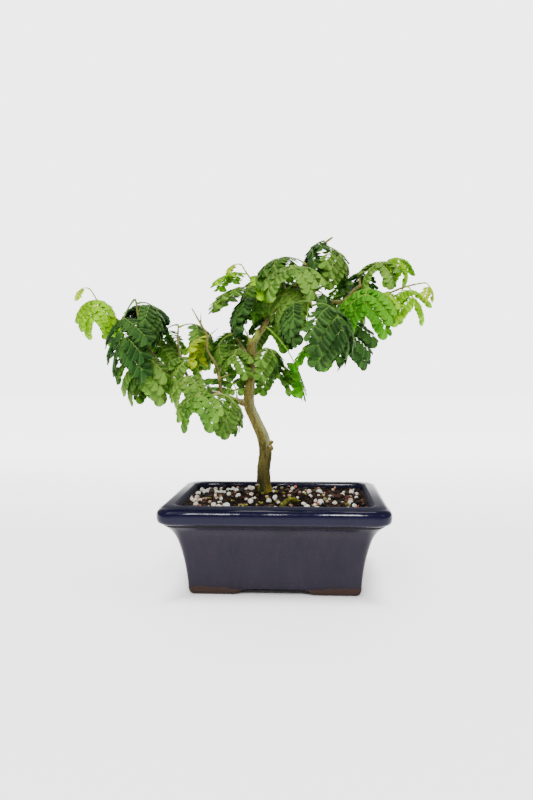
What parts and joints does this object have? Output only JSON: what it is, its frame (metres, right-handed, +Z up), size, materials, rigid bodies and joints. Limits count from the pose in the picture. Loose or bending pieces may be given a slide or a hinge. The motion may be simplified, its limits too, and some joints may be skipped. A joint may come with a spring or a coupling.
{
  "type": "brazilian rain tree bonsai in pot",
  "caption": "Small Brazilian rain tree bonsai, leaning trunk and drooping feathery leaves, in a glazed rectangular footed pot.",
  "frame": {"origin": "under the middle of the whole object's box, on the surface the pot stands on", "axes": "+X to the viewer's right along the pot's length, +Y away from the viewer, +Z up"},
  "size_m": [0.3486, 0.1726, 0.3258],
  "materials": {
    "pot_glaze": "dark navy gloss glaze, unglazed brown clay at the feet",
    "soil": "damp dark soil with pale grit and small pebbles",
    "screen": "black drainage mesh",
    "bark": "olive brown young bark, mossy at the foot",
    "leaf_dark": "dark blue-green leaflets, satin",
    "leaf_green": "mid-green leaflets, satin",
    "leaf_bright": "fresh green leaflets, satin",
    "leaf_lime": "lime young leaflets, satin",
    "leaf_young": "yellow-green shoot tips, satin"
  },
  "bodies": {
    "root": {"pot": "pot_glaze", "soil": "soil", "trunk_and_branches": "bark", "drain_screen_left": "screen", "drain_screen_right": "screen", "leaf_far_left_1": "leaf_young", "leaf_far_left_2": "leaf_lime", "leaf_far_left_3": "leaf_lime", "leaf_far_left_4": "leaf_green", "leaf_left_1": "leaf_dark", "leaf_left_2": "leaf_dark", "leaf_left_3": "leaf_dark", "leaf_left_4": "leaf_green", "leaf_left_5": "leaf_green", "leaf_left_6": "leaf_green", "leaf_left_7": "leaf_green", "leaf_left_back_1": "leaf_green", "leaf_left_back_2": "leaf_green", "leaf_left_back_3": "leaf_green", "leaf_left_low_1": "leaf_green", "leaf_left_low_2": "leaf_green", "leaf_thorny_1": "leaf_lime", "leaf_inner_front_1": "leaf_green", "leaf_inner_front_2": "leaf_green", "leaf_inner_back_1": "leaf_green", "leaf_inner_back_2": "leaf_green", "leaf_inner_back_3": "leaf_green", "leaf_up_left_1": "leaf_young", "leaf_up_left_2": "leaf_lime", "leaf_up_left_3": "leaf_lime", "leaf_up_left_4": "leaf_green", "leaf_up_left_5": "leaf_dark", "leaf_crown_1": "leaf_dark", "leaf_crown_2": "leaf_green", "leaf_crown_3": "leaf_green", "leaf_crown_4": "leaf_green", "leaf_crown_5": "leaf_green", "leaf_crown_6": "leaf_green", "leaf_crown_7": "leaf_bright", "leaf_crown_8": "leaf_green", "leaf_front_1": "leaf_dark", "leaf_front_2": "leaf_dark", "leaf_front_3": "leaf_bright", "leaf_front_4": "leaf_dark", "leaf_back_1": "leaf_green", "leaf_back_2": "leaf_green", "leaf_back_3": "leaf_dark", "leaf_back_right_1": "leaf_green", "leaf_back_right_2": "leaf_green", "leaf_right_1": "leaf_young", "leaf_right_2": "leaf_lime", "leaf_right_3": "leaf_lime", "leaf_right_4": "leaf_bright", "leaf_right_5": "leaf_dark", "leaf_right_up_1": "leaf_lime", "leaf_right_up_2": "leaf_green", "leaf_right_up_3": "leaf_dark"}
  },
  "joints": []
}
